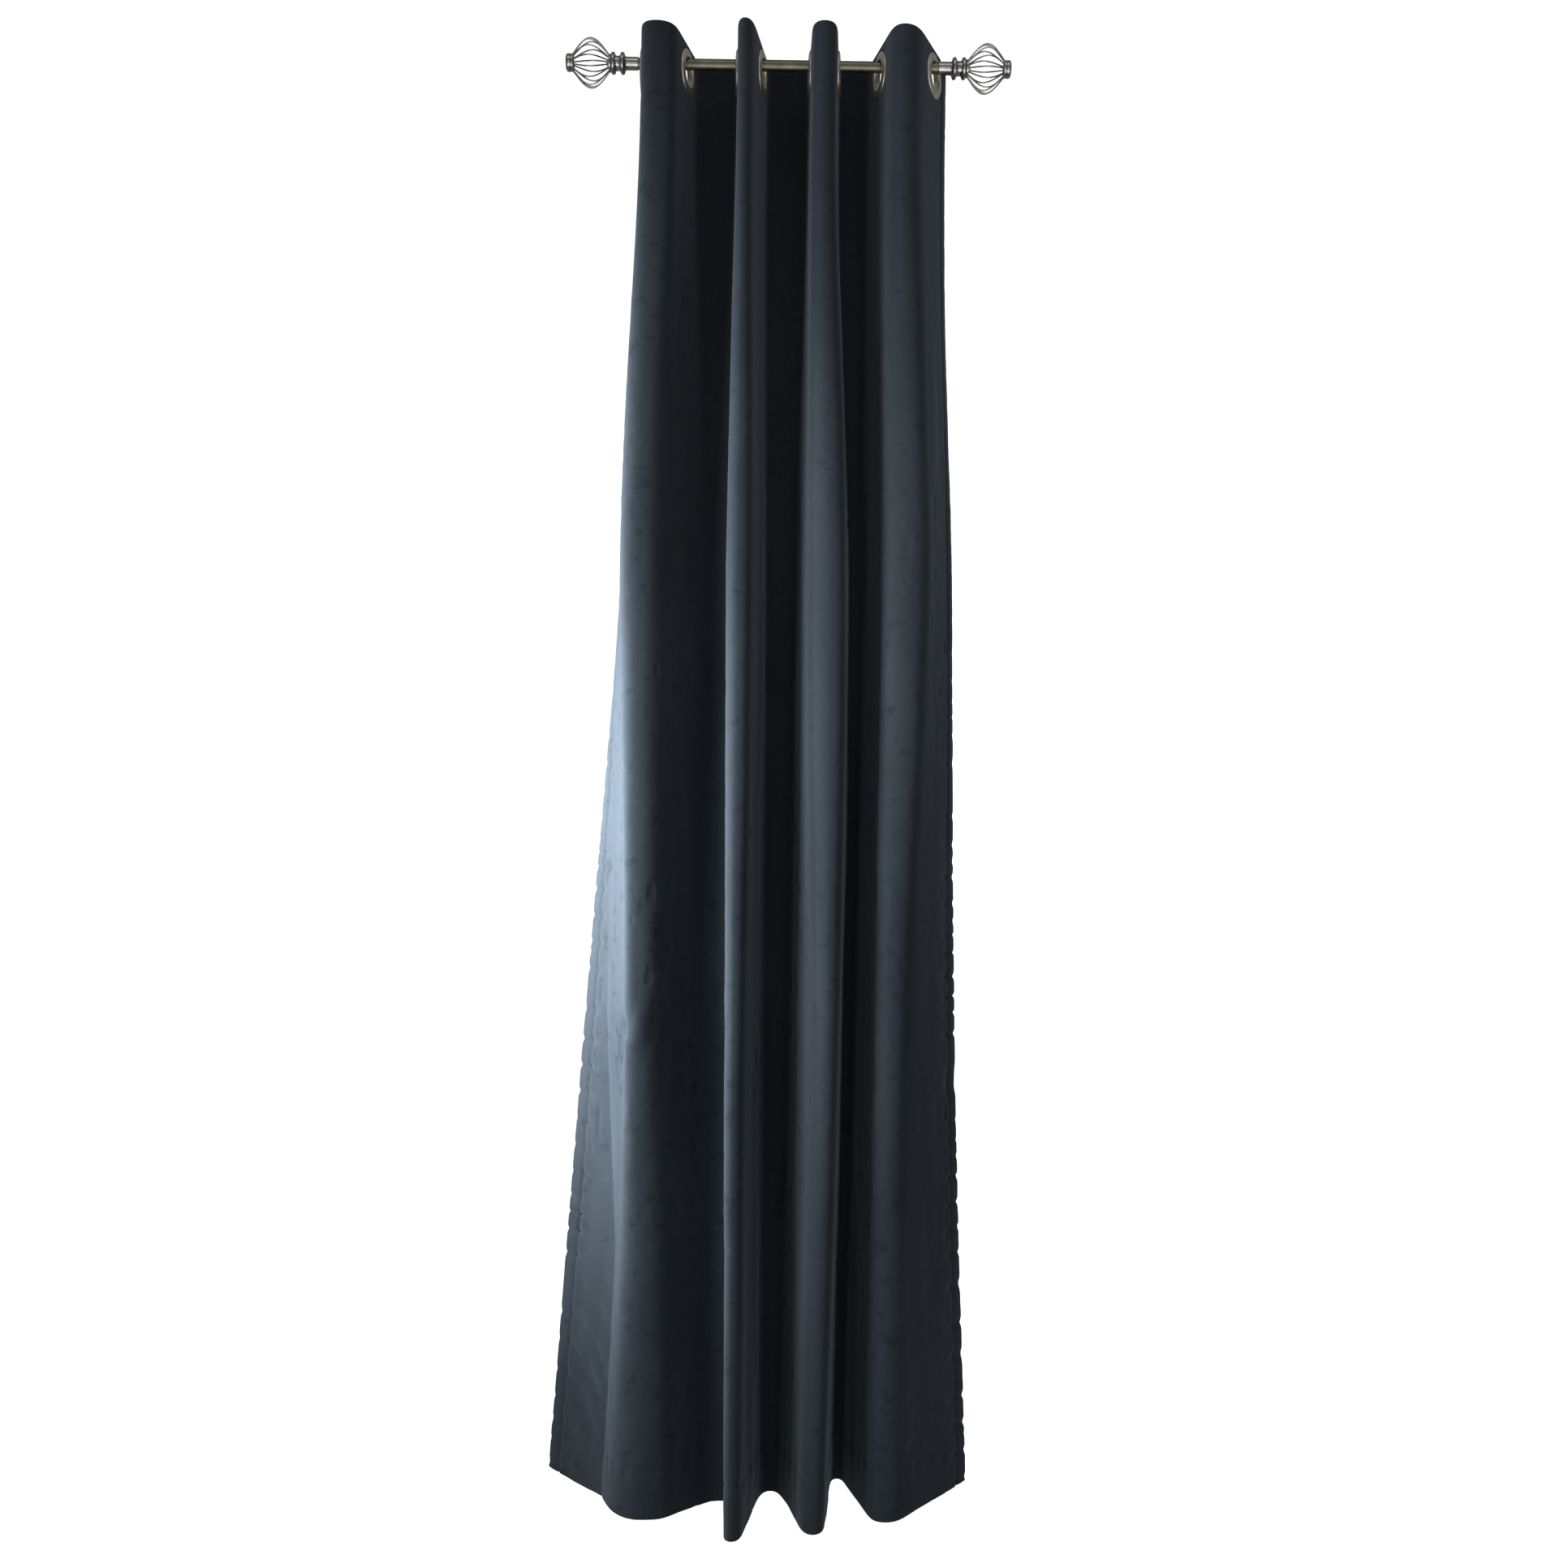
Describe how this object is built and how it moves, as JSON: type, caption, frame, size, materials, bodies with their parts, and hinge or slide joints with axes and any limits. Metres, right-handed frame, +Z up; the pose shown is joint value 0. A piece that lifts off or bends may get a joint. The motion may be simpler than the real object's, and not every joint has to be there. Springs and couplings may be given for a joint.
{
  "type": "curtain panel on rod",
  "caption": "Velvet eyelet-top curtain panel hanging in folds from a short metal rod with wire-cage finials at its ends.",
  "frame": {"origin": "on the rod's axis, half-way between its two ends", "axes": "+X along the rod to the viewer's right, +Y away from the room towards the wall, +Z up"},
  "size_m": [0.6606, 0.2044, 2.1402],
  "materials": {
    "velvet": "charcoal blue polyester velvet with a short pile that lightens where it catches the light",
    "buckram": "stiff off-white heading interfacing",
    "thread": "charcoal polyester sewing thread",
    "rod_metal": "satin pewter with an olive cast",
    "eyelet_metal": "satin nickel",
    "nickel": "brushed nickel with dark lines in the grooves",
    "nylon": "black moulded nylon"
  },
  "bodies": {
    "rod": {"rod_tube": "rod_metal"},
    "left_finial": {"left_finial_base": "nickel", "left_finial_plug": "nylon", "left_finial_cage": "nickel", "left_finial_screw": "nickel", "left_finial_cap": "nickel"},
    "right_finial": {"right_finial_base": "nickel", "right_finial_plug": "nylon", "right_finial_cage": "nickel", "right_finial_screw": "nickel", "right_finial_cap": "nickel"},
    "panel": {"velvet_panel": "velvet", "heading_interfacing": "buckram", "heading_facing": "velvet", "bottom_hem": "velvet", "left_side_hem": "velvet", "right_side_hem": "velvet", "heading_stitching": "thread", "bottom_hem_stitching": "thread", "left_side_stitching": "thread", "right_side_stitching": "thread", "eyelet_8_front": "eyelet_metal", "eyelet_8_back": "eyelet_metal"},
    "eyelet_1": {"eyelet_1_front": "eyelet_metal", "eyelet_1_back": "eyelet_metal"},
    "eyelet_2": {"eyelet_2_front": "eyelet_metal", "eyelet_2_back": "eyelet_metal"},
    "eyelet_3": {"eyelet_3_front": "eyelet_metal", "eyelet_3_back": "eyelet_metal"},
    "eyelet_4": {"eyelet_4_front": "eyelet_metal", "eyelet_4_back": "eyelet_metal"},
    "eyelet_5": {"eyelet_5_front": "eyelet_metal", "eyelet_5_back": "eyelet_metal"},
    "eyelet_6": {"eyelet_6_front": "eyelet_metal", "eyelet_6_back": "eyelet_metal"},
    "eyelet_7": {"eyelet_7_front": "eyelet_metal", "eyelet_7_back": "eyelet_metal"}
  },
  "joints": [
    {"name": "left_finial_pull", "type": "slide", "parent": "rod", "child": "left_finial", "axis": [-1, 0, 0], "range_m": [0, 0.03]},
    {"name": "right_finial_pull", "type": "slide", "parent": "rod", "child": "right_finial", "axis": [1, 0, 0], "range_m": [0, 0.03]},
    {"name": "panel_swing", "type": "hinge", "parent": "rod", "child": "panel", "pos_m": [0, 0, 0], "axis": [-1, 0, 0], "range_deg": [-3, 25]},
    {"name": "panel_gather", "type": "slide", "parent": "panel", "child": "eyelet_1", "axis": [1, 0, 0], "range_m": [0, 0.16], "deforming": ["velvet_panel", "heading_interfacing", "heading_facing", "bottom_hem", "left_side_hem", "right_side_hem", "heading_stitching", "bottom_hem_stitching", "left_side_stitching", "right_side_stitching"]},
    {"name": "eyelet_2_slide", "type": "slide", "parent": "panel", "child": "eyelet_2", "axis": [1, 0, 0], "range_m": [0, 0.13635]},
    {"name": "eyelet_3_slide", "type": "slide", "parent": "panel", "child": "eyelet_3", "axis": [1, 0, 0], "range_m": [0, 0.10805]},
    {"name": "eyelet_4_slide", "type": "slide", "parent": "panel", "child": "eyelet_4", "axis": [1, 0, 0], "range_m": [0, 0.09522]},
    {"name": "eyelet_5_slide", "type": "slide", "parent": "panel", "child": "eyelet_5", "axis": [1, 0, 0], "range_m": [0, 0.06805]},
    {"name": "eyelet_6_slide", "type": "slide", "parent": "panel", "child": "eyelet_6", "axis": [1, 0, 0], "range_m": [0, 0.05333]},
    {"name": "eyelet_7_slide", "type": "slide", "parent": "panel", "child": "eyelet_7", "axis": [1, 0, 0], "range_m": [0, 0.02993]}
  ],
  "couplings": [
    {"joint": "eyelet_2_slide", "follows": "panel_gather", "ratio": 0.84906},
    {"joint": "eyelet_3_slide", "follows": "panel_gather", "ratio": 0.67217},
    {"joint": "eyelet_4_slide", "follows": "panel_gather", "ratio": 0.59198},
    {"joint": "eyelet_5_slide", "follows": "panel_gather", "ratio": 0.42217},
    {"joint": "eyelet_6_slide", "follows": "panel_gather", "ratio": 0.33019},
    {"joint": "eyelet_7_slide", "follows": "panel_gather", "ratio": 0.18396}
  ]
}
